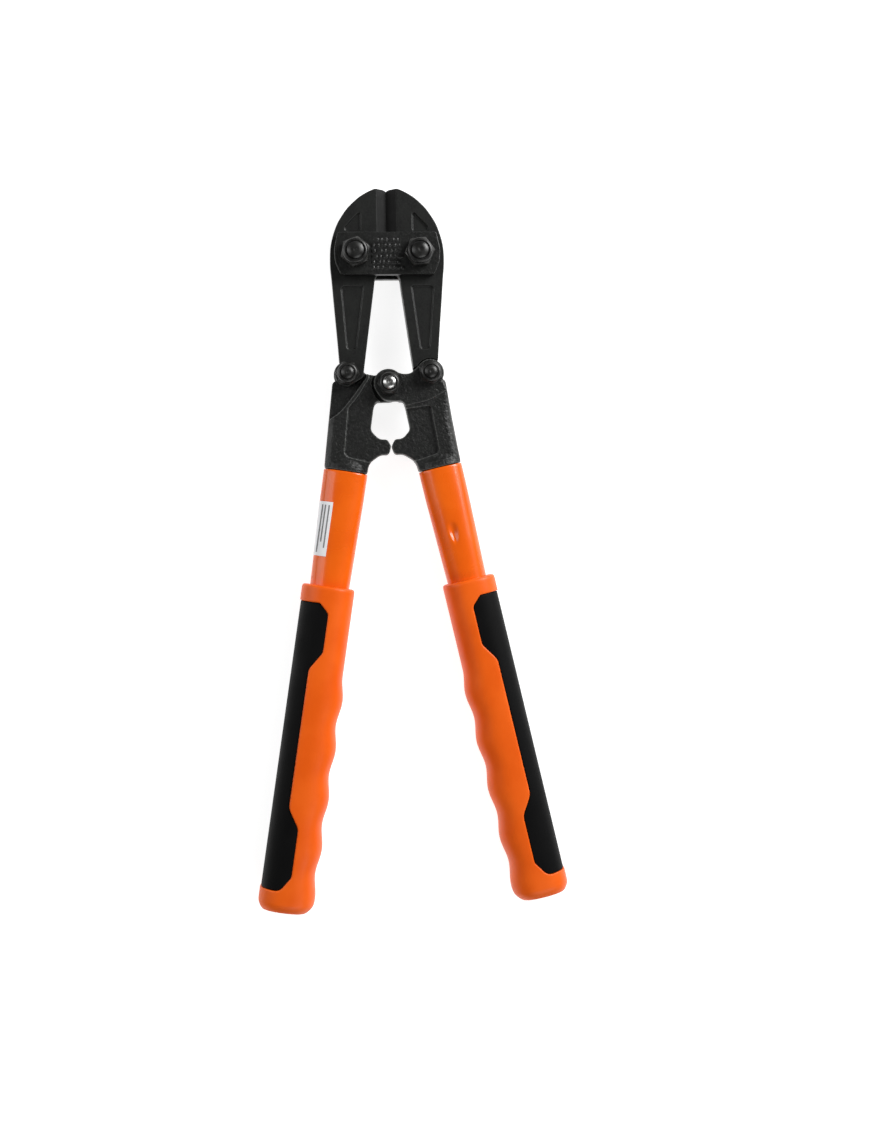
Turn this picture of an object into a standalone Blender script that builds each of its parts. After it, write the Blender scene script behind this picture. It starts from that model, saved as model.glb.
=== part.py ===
"""Bolt cutters: two hinged jaws between link plates, driven by two crossed handles.

The tool lies flat. +Z is its thickness, +Y points at the jaws and X runs across it.
Every measure below is in millimetres on the tool's own mid-plane, with its datum midway
between the two toggle bolts, and the tool frame empty turns them into metres and stands
the tool on z = 0. The left half is the right half turned over, so each handed piece is
made once, for +X, and given half a turn about Y for the other side.
"""

import math

import bmesh
import bpy
from mathutils import Matrix, Vector

MM = 0.001
DATUM = Vector((-6.91, 74.63, 11.6)) * MM  # datum, above the bounding box's bottom centre
GAP = 0.3  # between touching pieces

# Pivots
JAW_PIVOT = (13.5, 50.2)
TOGGLE = (17.5, 0.0)
CENTRE = (0.0, -4.35)

# Jaws
JAW_HALF = 4.0  # half thickness
EDGE_LAND = 0.25  # half thickness left at the cutting edge
BEVEL_WIDTH = 4.1
JAW_TOP = 77.9
TAIL_RADIUS = 5.3
RECESS_DEPTH = 0.6

# Link plates
PLATE_IN, PLATE_OUT = 4.3, 7.8
PLATE_TOP, PLATE_FOOT = 58.95, 41.1

# Handle forgings
ARM_TOP = 5.0  # front of the lobe, arm and eye
LAP = 0.15  # half the gap between lapped layers
RIB_HALF, WEB_HALF = 4.3, 3.0
LOBE_RADIUS, EYE_RADIUS = 5.75, 6.2
EYE_TOP, EYE_REACH = (-0.3, -4.4), (0.4, -5.5)  # the eye is a short slot form between these
RECESS_RADIUS = 7.5  # room for the other handle's eye
HANDLE_LEAN = 10.75  # degrees each handle leans out, on average
REST_SWAY = 1.85  # degrees both handles sway towards +X
COLLAR = (20.0, -40.3)  # middle of the forging's lower end, before the sway

# Bolts: shank radius, hex across flats, hex height, collar radius, collar height
BIG = {"shank": 3.5, "flats": 11.0, "hex": 3.8, "neck": 5.3, "neck_high": 2.0, "head": 6.0}
SMALL = {"shank": 2.75, "flats": 9.0, "hex": 2.9, "neck": 4.3, "neck_high": 1.5, "head": 4.9}
LOOSE_BORE = 4.7  # the left eye's clearance round the centre bolt
WASHER_RADIUS, WASHER_THICK = 6.6, 1.2

# Tubes and grips, measured along the handle from the collar
TUBE_WALL = 1.4
TUBE_END = 170.0
TUBE_STATIONS = (
    (GAP, 9.3, 5.9), (12.0, 9.25, 6.3), (32.0, 8.8, 7.1), (48.0, 8.4, 7.4), (56.0, 7.85, 7.4),
    (TUBE_END, 7.85, 7.4),
)  # along, half width, half thickness
TANG_LENGTH = 22.0
GRIP_START, GRIP_END = 49.3, 187.0
GRIP_OUT, GRIP_IN, GRIP_HALF = 11.65, 10.75, 11.0
GRIP_ROUNDING = 4.0  # length over which the lower end draws in
FINGER_FIRST, FINGER_PITCH, FINGER_RISE = 86.3, 21.0, 1.4
FINGER_COUNT, FINGER_STEPS = 4, 8
PAD_DEPTH, PAD_SUNK = 2.4, 0.4
PAD_START, PAD_FOOT = 56.5, 177.9
PAD_BEYOND = 15  # clear of the grip's outer side
PAD_OUTLINE = (
    (PAD_BEYOND, PAD_START, 0), (3, PAD_START, 0.1), (-1, 60.5, 3), (-1, 77, 4), (3.9, 84.5, 5),
    (4.0, 143, 6), (-1, 151, 5), (-1, 171.5, 3), (3.2, PAD_FOOT, 4), (PAD_BEYOND, PAD_FOOT, 0),
)  # across, along, corner radius
LABEL_START, LABEL_END, LABEL_EDGE, LABEL_THICK = 14.0, 37.0, 3.4, 0.3


# ---------------------------------------------------------------- scene and materials

def clear_scene():
    for item in list(bpy.data.objects):
        bpy.data.objects.remove(item, do_unlink=True)


def new_collection(name, hidden=False):
    group = bpy.data.collections.new(name)
    bpy.context.scene.collection.children.link(group)
    group.hide_render = hidden
    return group


def material(name, colour, roughness, metallic=0.0):
    made = bpy.data.materials.new(name)
    made.use_nodes = True
    shader = made.node_tree.nodes["Principled BSDF"]
    shader.inputs["Base Color"].default_value = (*colour, 1.0)
    shader.inputs["Roughness"].default_value = roughness
    shader.inputs["Metallic"].default_value = metallic
    made.diffuse_color = (*colour, 1.0)
    return made


clear_scene()
PARTS = new_collection("bolt_cutters")
CUTTERS = new_collection("cutters", hidden=True)
FORGED = material("forged_black", (0.030, 0.031, 0.029), 0.5, 0.8)
BLADE = material("blade_steel", (0.045, 0.047, 0.045), 0.42, 0.85)
FASTENER = material("fastener", (0.050, 0.050, 0.048), 0.35, 0.9)
BRIGHT = material("bright_steel", (0.60, 0.60, 0.60), 0.25, 1.0)
ORANGE = material("orange_enamel", (0.80, 0.13, 0.006), 0.28)
GRIP_VINYL = material("orange_vinyl", (0.82, 0.14, 0.008), 0.4)
BLACK_RUBBER = material("black_rubber", (0.006, 0.006, 0.006), 0.5)
LABEL_WHITE = material("label", (0.72, 0.72, 0.74), 0.4)


# ---------------------------------------------------------------- outlines, in millimetres

def arc(centre, radius, start, end, steps):
    """Points on an arc from one angle to another, in degrees."""
    points = []
    for step in range(steps + 1):
        angle = math.radians(start + (end - start) * step / steps)
        points.append((centre[0] + radius * math.cos(angle), centre[1] + radius * math.sin(angle)))
    return points


def rounded(corners, step_angle=20.0):
    """A closed outline from (x, y, radius) corners, each radius a true fillet."""
    outline = []
    for index, (x, y, radius) in enumerate(corners):
        corner = Vector((x, y))
        if radius == 0:
            outline.append((x, y))
            continue
        before = (Vector(corners[index - 1][:2]) - corner).normalized()
        after = (Vector(corners[(index + 1) % len(corners)][:2]) - corner).normalized()
        half = before.angle(after) / 2
        reach = radius / math.tan(half)
        centre = corner + (before + after).normalized() * (radius / math.sin(half))
        first = corner + before * reach - centre
        turn = (corner + after * reach - centre).angle_signed(first)
        steps = max(1, round(abs(math.degrees(turn)) / step_angle))
        for step in range(steps + 1):
            spoke = Matrix.Rotation(turn * step / steps, 2) @ first
            outline.append(tuple(centre + spoke))
    return outline


def sway(point, degrees):
    """Turn a point about the centre pivot, more the further it is down the handle."""
    depth = (CENTRE[1] - point[1]) / (CENTRE[1] - COLLAR[1])
    turn = math.radians(degrees) * min(max(depth, 0.0), 1.0)
    x, y = point[0] - CENTRE[0], point[1] - CENTRE[1]
    return (
        CENTRE[0] + x * math.cos(turn) - y * math.sin(turn),
        CENTRE[1] + x * math.sin(turn) + y * math.cos(turn),
    )


# ---------------------------------------------------------------- solids, in millimetres

def tidy_mesh(mesh):
    """Weld loose caps and turn every face outwards."""
    form = bmesh.new()
    form.from_mesh(mesh)
    bmesh.ops.remove_doubles(form, verts=form.verts, dist=0.001)
    bmesh.ops.recalc_face_normals(form, faces=form.faces)
    form.to_mesh(mesh)
    form.free()
    return mesh


def flat_mesh(outline, low, high):
    """A closed flat outline thickened from z = low to z = high."""
    curve = bpy.data.curves.new("outline", "CURVE")
    curve.dimensions = "2D"
    curve.fill_mode = "BOTH"
    curve.extrude = (high - low) / 2
    spline = curve.splines.new("POLY")
    spline.points.add(len(outline) - 1)
    for point, (x, y) in zip(spline.points, outline):
        point.co = (x, y, 0, 1)
    spline.use_cyclic_u = True
    guide = bpy.data.objects.new("outline", curve)
    bpy.context.scene.collection.objects.link(guide)
    graph = bpy.context.evaluated_depsgraph_get()
    mesh = bpy.data.meshes.new_from_object(guide.evaluated_get(graph))
    bpy.data.objects.remove(guide)
    mesh.transform(Matrix.Translation((0, 0, (low + high) / 2)))
    return tidy_mesh(mesh)


def cylinder_mesh(at, radius, low, high, sides=24, turn=0.0):
    """An upright prism, round or, with few sides, a hexagon."""
    form = bmesh.new()
    bmesh.ops.create_cone(
        form, cap_ends=True, segments=sides, radius1=radius, radius2=radius, depth=high - low
    )
    mesh = bpy.data.meshes.new("cylinder")
    form.to_mesh(mesh)
    form.free()
    place = Matrix.Translation((at[0], at[1], (low + high) / 2))
    mesh.transform(place @ Matrix.Rotation(math.radians(turn), 4, "Z"))
    return mesh


def turned_mesh(profile, sides=24):
    """A solid of revolution about Z from (radius, z) points, top to bottom."""
    form = bmesh.new()
    ring = [form.verts.new((radius, 0, z)) for radius, z in profile]
    for upper, lower in zip(ring, ring[1:]):
        form.edges.new((upper, lower))
    bmesh.ops.spin(
        form, geom=form.verts[:] + form.edges[:], axis=(0, 0, 1), cent=(0, 0, 0),
        angle=math.tau, steps=sides, use_duplicate=False,
    )
    mesh = bpy.data.meshes.new("turned")
    form.to_mesh(mesh)
    form.free()
    return tidy_mesh(mesh)


def oval_mesh(stations, sides=20, squareness=2.3):
    """A loft along -Y through ovals: (along, inner half width, outer half width, half thickness)."""
    form = bmesh.new()
    rings = []
    for along, inner, outer, thick in stations:
        ring = []
        for side in range(sides):
            angle = math.tau * side / sides
            across = abs(math.cos(angle)) ** (2 / squareness)
            up = abs(math.sin(angle)) ** (2 / squareness)
            x = outer * across if math.cos(angle) >= 0 else -inner * across
            ring.append(form.verts.new((x, -along, math.copysign(thick * up, math.sin(angle)))))
        rings.append(ring)
    for ring, following in zip(rings, rings[1:]):
        for side in range(sides):
            beyond = (side + 1) % sides
            form.faces.new((ring[side], ring[beyond], following[beyond], following[side]))
    form.faces.new(rings[0])
    form.faces.new(rings[-1])
    mesh = bpy.data.meshes.new("loft")
    form.to_mesh(mesh)
    form.free()
    return tidy_mesh(mesh)


# ---------------------------------------------------------------- bodies and their frames

def frame(name, at=(0.0, 0.0), parent=None, origin=(0.0, 0.0)):
    """An empty on a pivot, given in datum millimetres, under another empty."""
    empty = bpy.data.objects.new(name, None)
    empty.empty_display_size = 10 * MM
    PARTS.objects.link(empty)
    empty.parent = parent
    empty.location = ((at[0] - origin[0]) * MM, (at[1] - origin[1]) * MM, 0)
    empty["pivot"] = (at[0], at[1])
    return empty


def add(name, mesh, body, finish, tool):
    """Link a mesh, given in datum millimetres, as a piece of a body."""
    pivot = body["pivot"]
    mesh.transform(Matrix.Scale(MM, 4) @ Matrix.Translation((-pivot[0], -pivot[1], 0)))
    mesh.name = name
    mesh.materials.clear()
    mesh.materials.append(finish)
    mesh.shade_smooth()
    mesh.set_sharp_from_angle(angle=math.radians(35))
    piece = bpy.data.objects.new(name, mesh)
    PARTS.objects.link(piece)
    piece.parent = body
    piece["tool"] = tool.name
    return piece


def boolean(piece, mesh, operation="DIFFERENCE", name="cut"):
    """Cut, join or intersect a piece with a mesh given in datum millimetres."""
    mesh.transform(Matrix.Scale(MM, 4))
    helper = bpy.data.objects.new(f"{piece.name}_{name}", mesh)
    CUTTERS.objects.link(helper)
    helper.parent = bpy.data.objects[piece["tool"]]
    helper.hide_render = True
    helper.display_type = "WIRE"
    modifier = piece.modifiers.new(name, "BOOLEAN")
    modifier.operation = operation
    modifier.solver = "EXACT"
    modifier.object = helper


def turned_over(mesh, side):
    """The same mesh for the other side: half a turn about Y."""
    if side < 0:
        mesh.transform(Matrix.Rotation(math.pi, 4, "Y"))
    return mesh


# ---------------------------------------------------------------- the jaws

def jaw_outline():
    back = [(0.15, JAW_TOP, 0), (5.4, JAW_TOP, 3), (13.2, 73.5, 12), (19.6, 66.3, 14),
            (23.0, 58.8, 14), (24.5, 48.0, 14), (20.75, 4.0, 2)]
    tail = [(x, y, 0) for x, y in arc(TOGGLE, TAIL_RADIUS, 25, -95, 8)]
    front = [(10.9, -1.6, 2.6), (5.75, 36.1, 0), (5.35, 39.6, 0), (4.6, 41.6, 1), (0.9, 45.0, 1.5),
             (0.15, 50.0, 0)]
    return rounded(back + tail + front)


def bevel_mesh(front):
    """A long wedge of waste above the ground face beside the cutting edge."""
    rise = JAW_HALF - EDGE_LAND
    slope = math.atan2(rise, BEVEL_WIDTH)
    mesh = flat_mesh([(-5, 46), (9, 46), (9, 80), (-5, 80)], 0, 6)
    place = Matrix.Translation((0.15, 0, EDGE_LAND)) @ Matrix.Rotation(-slope, 4, "Y")
    mesh.transform(place)
    if not front:
        mesh.transform(Matrix.Scale(-1, 4, (0, 0, 1)))
        mesh.flip_normals()
    return mesh


def make_jaw(name, body, side, tool):
    blank = flat_mesh(jaw_outline(), -JAW_HALF, JAW_HALF)
    jaw = add(name, turned_over(blank, side), body, BLADE, tool)
    pocket = rounded([(10.9, 69.0, 0.8), (18.0, 61.6, 1.2), (17.4, 60.1, 0.8), (10.8, 60.1, 0.8)])
    panel = rounded([(9.95, 37.1, 0.8), (19.7, 37.0, 1.6), (17.6, 10.1, 1.4), (13.5, 10.1, 1.4)])
    lap = arc(TOGGLE, LOBE_RADIUS + 0.45, 15, 152, 10) + [(8, 1.4), (8, -8), (26, -8)]
    cuts = {
        "bore": cylinder_mesh(JAW_PIVOT, BIG["shank"] + GAP, -9, 9),
        "toggle_bore": cylinder_mesh(TOGGLE, SMALL["shank"] + GAP, -9, 9, 20),
        "lap": flat_mesh(lap, -LAP, 9),
        "bevel_front": bevel_mesh(True),
        "bevel_back": bevel_mesh(False),
    }
    for label, outline in (("pocket", pocket), ("panel", panel)):
        cuts[label + "_front"] = flat_mesh(outline, JAW_HALF - RECESS_DEPTH, 9)
        cuts[label + "_back"] = flat_mesh(outline, -9, RECESS_DEPTH - JAW_HALF)
    for label, mesh in cuts.items():
        boolean(jaw, turned_over(mesh, side), name=label)


# ---------------------------------------------------------------- the link plates

def make_plate(name, body, low, high, tool):
    half = [(20.7, PLATE_TOP, 1.0), (22.3, 52.0, 10), (22.0, 46.5, 8), (19.7, PLATE_FOOT, 1.5)]
    outline = rounded(half + [(-x, y, radius) for x, y, radius in reversed(half)])
    plate = add(name, flat_mesh(outline, low, high), body, FORGED, tool)
    for side in (1, -1):
        bore = cylinder_mesh((side * JAW_PIVOT[0], JAW_PIVOT[1]), BIG["shank"] + GAP, -12, 12)
        boolean(plate, bore, name=f"bore_{'right' if side > 0 else 'left'}")


# ---------------------------------------------------------------- bolts and nuts

def make_bolt(name, body, at, size, head_face, shank_top, finish, tool):
    """A low round-headed bolt: its head sits below head_face and its domed end is at shank_top."""
    shank, head, low = size["shank"], size["head"], head_face - 3.5
    profile = [(0, shank_top), (shank * 0.5, shank_top - 0.25), (shank * 0.85, shank_top - 0.8),
               (shank, shank_top - 1.5), (shank, head_face), (head, head_face),
               (head, head_face - 1.6), (head * 0.88, head_face - 2.7), (head * 0.6, low), (0, low)]
    mesh = turned_mesh(profile, 20)
    mesh.transform(Matrix.Translation((at[0], at[1], 0)))
    add(name, mesh, body, finish, tool)


def make_nut(name, body, at, size, seat, turn, tool):
    """A hexagon lock nut with a round neck, standing on z = seat."""
    top = seat + size["hex"]
    radius = size["flats"] / math.sqrt(3)
    nut = add(name, cylinder_mesh(at, radius, seat, top, 6, turn), body, FASTENER, tool)
    neck = cylinder_mesh(at, size["neck"], seat + 1, top + size["neck_high"])
    boolean(nut, neck, "UNION", "neck")
    boolean(nut, cylinder_mesh(at, size["shank"] + GAP, seat - 3, top + 6), name="bore")


# ---------------------------------------------------------------- the handle forgings

def arm_outline():
    """The front layer: lobe round the toggle bolt, arm, and eye round the centre bolt."""
    lobe = arc(TOGGLE, LOBE_RADIUS, -32, 148, 10)
    saddle = [(9.6, 0.25), (7.4, -0.38), (5.2, -0.25)]
    eye = arc(EYE_TOP, EYE_RADIUS, 48, 200, 9) + arc(EYE_REACH, EYE_RADIUS, 215, 270, 4)
    inner = [(4.9, -11.7), (6.0, -12.6), (6.7, -14.1)]
    ridge = [(8.6, -13.6), (14.3, -12.4), (18.3, -10.9), (24.4, -7.4)]
    return lobe + saddle + eye + inner + ridge


def shank_outline():
    """Both layers: ribs, web, stop hook and the end that meets the tube."""
    return rounded([
        (9.4, -0.5, 0), (13.0, -1.2, 0), (22.6, -2.6, 0), (23.9, -3.4, 2), (29.0, -38.5, 1.0),
        (11.0, -41.95, 0.8), (10.0, -37.5, 6), (4.6, -34.0, 5), (1.2, -34.4, 1.8), (0.1, -30.6, 2),
        (1.6, -27.8, 1.6), (5.0, -27.7, 4), (8.4, -23.8, 3), (6.9, -15.2, 4), (6.0, -11.9, 1.2),
        (0.6, -11.7, 0), (0.6, -0.6, 0), (7.4, -0.6, 0),
    ])


def horn_outline():
    """The shoulder that wraps the other handle's eye, on the other layer only."""
    crest = arc((0.95, -4.9), 6.9, 38, 88, 6)
    return [(9.65, -0.2), *crest, (1.19, -3.0), (9.65, -3.0)]


def tail_recess():
    """Room on the other layer for the jaw's tail to swing."""
    return [(9.75, 6.0), (9.75, -1.9), (11.9, -4.7), (14.4, -8.3), (17.3, -11.9), (20.2, -15.1),
            (23.1, -17.4), (27.0, -19.6), (34.0, -10.0), (34.0, 10.0)]


def front_web():
    return rounded([(-4, -16.6, 0), (17.4, -13.9, 1.2), (20.1, -34.2, 2), (11.0, -36.9, 0.6),
                    (-4, -38.5, 0)])


def back_web():
    return rounded([(-4, 6, 0), (8.5, 6, 0), (8.5, -2.4, 0), (13.3, -9.6, 0), (17.4, -14.3, 1.2),
                    (20.1, -34.2, 2), (11.0, -36.9, 0.6), (-4, -38.5, 0)])


def make_forging(name, body, side, eye_bore, tool):
    """One handle head. The same forging serves both sides, turned over."""
    lean = side * REST_SWAY

    def layer(outline, low, high):
        swayed = [sway(point, lean) for point in outline]
        return turned_over(flat_mesh(swayed, low, high), side)

    forging = add(name, layer(shank_outline(), -RIB_HALF, RIB_HALF), body, FORGED, tool)
    recess = arc((-EYE_REACH[0], EYE_REACH[1]), RECESS_RADIUS, 240, 360, 9)
    recess += arc(CENTRE, RECESS_RADIUS, 0, 120, 9) + [(-9, 1.4), (-9, -12.2)]
    collar = oval_mesh(((-4.2, 8.4, 8.4, 3.6), (-2.6, 9.0, 9.0, 5.7), (0, 9.1, 9.1, 5.85)))
    tang = oval_mesh(((-2, 7.6, 7.6, 4.2), (TANG_LENGTH, 7.25, 7.25, 4.2)))
    joins = {
        "arm": layer(arm_outline(), LAP, ARM_TOP),
        "horn": layer(horn_outline(), -RIB_HALF + 0.2, -LAP - 0.05),
        "collar": on_handle(collar, side),
        "tang": on_handle(tang, side),
    }
    cuts = {
        "eye_recess": layer(recess, -9, LAP),
        "tail_recess": layer(tail_recess(), -9, LAP),
        "web_front": layer(front_web(), WEB_HALF, 9),
        "web_back": layer(back_web(), -9, -WEB_HALF),
        "toggle_bore": turned_over(cylinder_mesh(TOGGLE, SMALL["shank"] + GAP, -9, 9, 20), side),
        "eye_bore": turned_over(cylinder_mesh(CENTRE, eye_bore, -9, 9), side),
    }
    for label, mesh in joins.items():
        boolean(forging, mesh, "UNION", label)
    for label, mesh in cuts.items():
        boolean(forging, mesh, name=label)


# ---------------------------------------------------------------- tubes, grips and trim

def on_handle(mesh, side):
    """Lay a mesh, made along -Y from the collar, on the handle of one side."""
    lean = HANDLE_LEAN + side * REST_SWAY
    foot = sway(COLLAR, side * REST_SWAY)
    place = Matrix.Translation((foot[0], foot[1], 0))
    mesh.transform(place @ Matrix.Rotation(math.radians(lean), 4, "Z"))
    return turned_over(mesh, side)


def tube_stations(shrink, start, end):
    """The tube's ovals, all shrunk or grown by the same amount, over part of its length."""
    def size(along, which):
        for first, second in zip(TUBE_STATIONS, TUBE_STATIONS[1:]):
            if along <= second[0]:
                share = max(0.0, (along - first[0]) / (second[0] - first[0]))
                return first[which] + share * (second[which] - first[which])
        return TUBE_STATIONS[-1][which]

    stops = [start] + [station[0] for station in TUBE_STATIONS if start < station[0] < end] + [end]
    return [(s, size(s, 1) - shrink, size(s, 1) - shrink, size(s, 2) - shrink) for s in stops]


def grip_stops():
    """Where the grip's ovals stand: few where it is plain, more along the finger waves."""
    stops = [GRIP_START, (GRIP_START + FINGER_FIRST) / 2]
    step = FINGER_PITCH / FINGER_STEPS
    stops += [FINGER_FIRST + step * index for index in range(FINGER_COUNT * FINGER_STEPS + 1)]
    while stops[-1] + step < GRIP_END - GRIP_ROUNDING / 2:
        stops.append(stops[-1] + step)
    return stops + [GRIP_END - GRIP_ROUNDING / 2, GRIP_END - GRIP_ROUNDING / 4, GRIP_END]


def grip_mesh(side, shrink=0.0, overrun=0.0):
    """The grip's form: plain near the top, then finger waves down the inner side."""
    stations = []
    for along in grip_stops():
        wave = 0.0
        if along > FINGER_FIRST:
            turns = (along - FINGER_FIRST) / FINGER_PITCH
            wave = FINGER_RISE * (1 - math.cos(math.tau * turns)) / 2
        pull = 1.6 * max(0.0, 1.0 - (GRIP_END - along) / GRIP_ROUNDING) ** 2
        reach = {GRIP_START: -overrun, GRIP_END: overrun}.get(along, 0.0)
        stations.append((along + reach, GRIP_IN + wave - pull - shrink, GRIP_OUT - pull - shrink,
                         GRIP_HALF - pull * 0.6 - shrink))
    return on_handle(oval_mesh(stations, squareness=2.5), side)


def pad_prism(side, inset):
    """The pad's outline, or one smaller by an inset, through the whole grip."""
    middle = (PAD_START + PAD_FOOT) / 2
    squeeze = 1 - 2 * inset / (PAD_FOOT - PAD_START)
    corners = []
    for across, along, radius in PAD_OUTLINE:
        shift = 0 if across == PAD_BEYOND else inset
        corners.append((across + shift, -middle - (along - middle) * squeeze, radius))
    return on_handle(flat_mesh(rounded(corners), -16, 16), side)


def make_handle(word, body, side, tool):
    tube_form = on_handle(oval_mesh(tube_stations(0, GAP, TUBE_END)), side)
    tube = add(f"tube_{word}", tube_form, body, ORANGE, tool)
    hollow = oval_mesh(tube_stations(TUBE_WALL, -2, TUBE_END + 3))
    boolean(tube, on_handle(hollow, side), name="hollow")

    grip = add(f"grip_{word}", grip_mesh(side), body, GRIP_VINYL, tool)
    socket = oval_mesh(tube_stations(-GAP, GRIP_START - 3, TUBE_END + 4))
    boolean(grip, on_handle(socket, side), name="socket")
    pocket = add(f"pad_pocket_{word}", pad_prism(side, 0), body, GRIP_VINYL, tool)
    boolean(pocket, grip_mesh(side, PAD_DEPTH, 5.0), name="core")
    PARTS.objects.unlink(pocket)
    CUTTERS.objects.link(pocket)
    pocket.hide_render = True
    pocket.display_type = "WIRE"
    modifier = grip.modifiers.new("pad_pocket", "BOOLEAN")
    modifier.object = pocket

    pad = add(f"grip_pad_{word}", grip_mesh(side, PAD_SUNK), body, BLACK_RUBBER, tool)
    boolean(pad, pad_prism(side, GAP), "INTERSECT", "outline")
    boolean(pad, grip_mesh(side, PAD_DEPTH - GAP, 5.0), name="core")


def make_label(body, side, tool):
    """The sticker on the left tube: a thin skin over its outer side."""
    skin = on_handle(oval_mesh(tube_stations(-GAP - LABEL_THICK, LABEL_START, LABEL_END)), side)
    label = add("label", skin, body, LABEL_WHITE, tool)
    inside = on_handle(oval_mesh(tube_stations(-GAP, LABEL_START - 4, LABEL_END + 4)), side)
    boolean(label, inside, name="inside")
    edge, beyond = LABEL_EDGE, PAD_BEYOND
    strip = [(edge, -10), (beyond, -10), (beyond, -41), (edge, -41)]
    boolean(label, on_handle(flat_mesh(strip, -12, 12), side), "INTERSECT", "outline")


# ---------------------------------------------------------------- the whole tool

def make_tool():
    tool = frame("bolt_cutters_frame")
    tool.location = DATUM
    head = frame("head_frame", parent=tool)
    make_plate("link_plate_front", head, PLATE_IN, PLATE_OUT, tool)
    make_plate("link_plate_back", head, -PLATE_OUT, -PLATE_IN, tool)

    for word, side in (("left", -1), ("right", 1)):
        jaw_at = (side * JAW_PIVOT[0], JAW_PIVOT[1])
        toggle_at = (side * TOGGLE[0], TOGGLE[1])
        seat = PLATE_OUT + GAP
        make_bolt(f"jaw_bolt_{word}", head, jaw_at, BIG, -seat, seat + 7.4, FASTENER, tool)
        make_nut(f"jaw_nut_{word}", head, jaw_at, BIG, seat, -17 - 7 * side, tool)

        jaw_body = frame(f"jaw_{word}_pivot", jaw_at, tool)
        make_jaw(f"jaw_{word}", jaw_body, side, tool)

        handle = frame(f"handle_{word}_pivot", toggle_at, jaw_body, jaw_at)
        eye_bore = SMALL["shank"] + GAP if side > 0 else LOOSE_BORE
        make_forging(f"handle_head_{word}", handle, side, eye_bore, tool)
        front = (ARM_TOP if side > 0 else JAW_HALF) + GAP
        back = -(JAW_HALF if side > 0 else ARM_TOP) - GAP
        make_bolt(f"toggle_bolt_{word}", handle, toggle_at, SMALL, back, front + 5.7, FASTENER, tool)
        make_nut(f"toggle_nut_{word}", handle, toggle_at, SMALL, front, 10 if side > 0 else 25, tool)
        make_handle(word, handle, side, tool)

        if side < 0:
            make_label(handle, side, tool)
            continue
        under = -ARM_TOP - GAP
        disc = cylinder_mesh(CENTRE, WASHER_RADIUS, under - WASHER_THICK, under)
        washer = add("centre_washer", disc, handle, FASTENER, tool)
        boolean(washer, cylinder_mesh(CENTRE, SMALL["shank"] + GAP, -12, 12, 20), name="bore")
        face = under - WASHER_THICK - GAP
        make_bolt("centre_bolt", handle, CENTRE, SMALL, face, front + 5.9, BRIGHT, tool)
        make_nut("centre_nut", handle, CENTRE, SMALL, front, 30, tool)


make_tool()
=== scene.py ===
import math

import bmesh
import bpy
import numpy as np
from mathutils import Matrix, Vector


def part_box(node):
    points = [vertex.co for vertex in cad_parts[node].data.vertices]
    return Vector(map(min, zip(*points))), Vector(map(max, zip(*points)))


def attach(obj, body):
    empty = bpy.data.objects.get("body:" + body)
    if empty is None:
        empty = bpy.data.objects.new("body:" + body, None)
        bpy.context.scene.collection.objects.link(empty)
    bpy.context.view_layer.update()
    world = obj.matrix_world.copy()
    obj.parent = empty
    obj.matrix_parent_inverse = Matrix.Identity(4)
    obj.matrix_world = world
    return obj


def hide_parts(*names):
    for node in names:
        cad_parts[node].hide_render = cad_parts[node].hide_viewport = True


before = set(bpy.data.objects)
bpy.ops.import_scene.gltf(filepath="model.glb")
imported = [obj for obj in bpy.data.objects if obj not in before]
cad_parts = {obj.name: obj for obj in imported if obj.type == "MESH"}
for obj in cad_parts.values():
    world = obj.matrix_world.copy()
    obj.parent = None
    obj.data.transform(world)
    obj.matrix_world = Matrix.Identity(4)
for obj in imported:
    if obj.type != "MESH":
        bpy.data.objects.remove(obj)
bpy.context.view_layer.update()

# Shapes are made in millimetres from the tool's datum, midway between the toggle bolts on
# the tool's mid-plane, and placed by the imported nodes. Left pieces are right ones turned over.
MM = 0.001


def middle_of(first, second):
    corners = [*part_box(first), *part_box(second)]
    return sum(corners, Vector((0, 0, 0))) / 4


TOGGLES = middle_of("toggle_bolt_left", "toggle_bolt_right")
PLATES = middle_of("link_plate_front", "link_plate_back")
DATUM = Vector((TOGGLES.x, TOGGLES.y, PLATES.z))

JAW_PIVOT = (13.5, 50.2)
TOGGLE = (17.5, 0.0)
CENTRE = (0.0, -4.35)
JAW_HALF = 4.0
EDGE_LAND, BEVEL_WIDTH = 0.45, 4.1
JAW_BACK = (
    (4.9, 77.88), (7.66, 76.7), (10.6, 75.0), (12.86, 73.3), (16.36, 69.9), (18.85, 66.5),
    (20.8, 63.2), (22.16, 59.8), (23.18, 56.4), (23.83, 53.0), (24.06, 49.6), (24.07, 46.2),
    (23.83, 42.9), (23.5, 39.5), (22.73, 29.4), (21.63, 15.8), (20.85, 5.0),
)
JAW_RECESS, RECESS_DRAFT = 0.9, 0.25
PLATE_IN, PLATE_OUT = 4.3, 7.8
ARM_TOP, RIB_HALF, WEB_HALF = 5.0, 4.3, 3.0
LAP = 0.15
HANDLE_LEAN, REST_SWAY = 10.75, 1.85
COLLAR = (20.0, -40.3)
TUBE_STATIONS = (
    (0.3, 9.3, 5.9), (12.0, 9.25, 6.3), (32.0, 8.8, 7.1), (48.0, 8.4, 7.4), (56.0, 7.85, 7.4),
    (170.0, 7.85, 7.4),
)  # along, half width, half thickness
TUBE_START, TUBE_END, TUBE_WALL = 0.3, 170.0, 1.4
TUBE_SQUARENESS, GRIP_SQUARENESS = 2.3, 2.5  # 2 would be an ellipse
DIMPLE_ALONG, DIMPLE_ACROSS = 28.6, -1.3
DIMPLE_REACH, DIMPLE_WIDTH, DIMPLE_DEPTH = 5.2, 1.9, 1.15
GRIP_START, GRIP_END = 49.3, 187.0
GRIP_OUT, GRIP_IN, GRIP_HALF = 11.65, 10.75, 11.0
GRIP_STEP = 1.4
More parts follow.
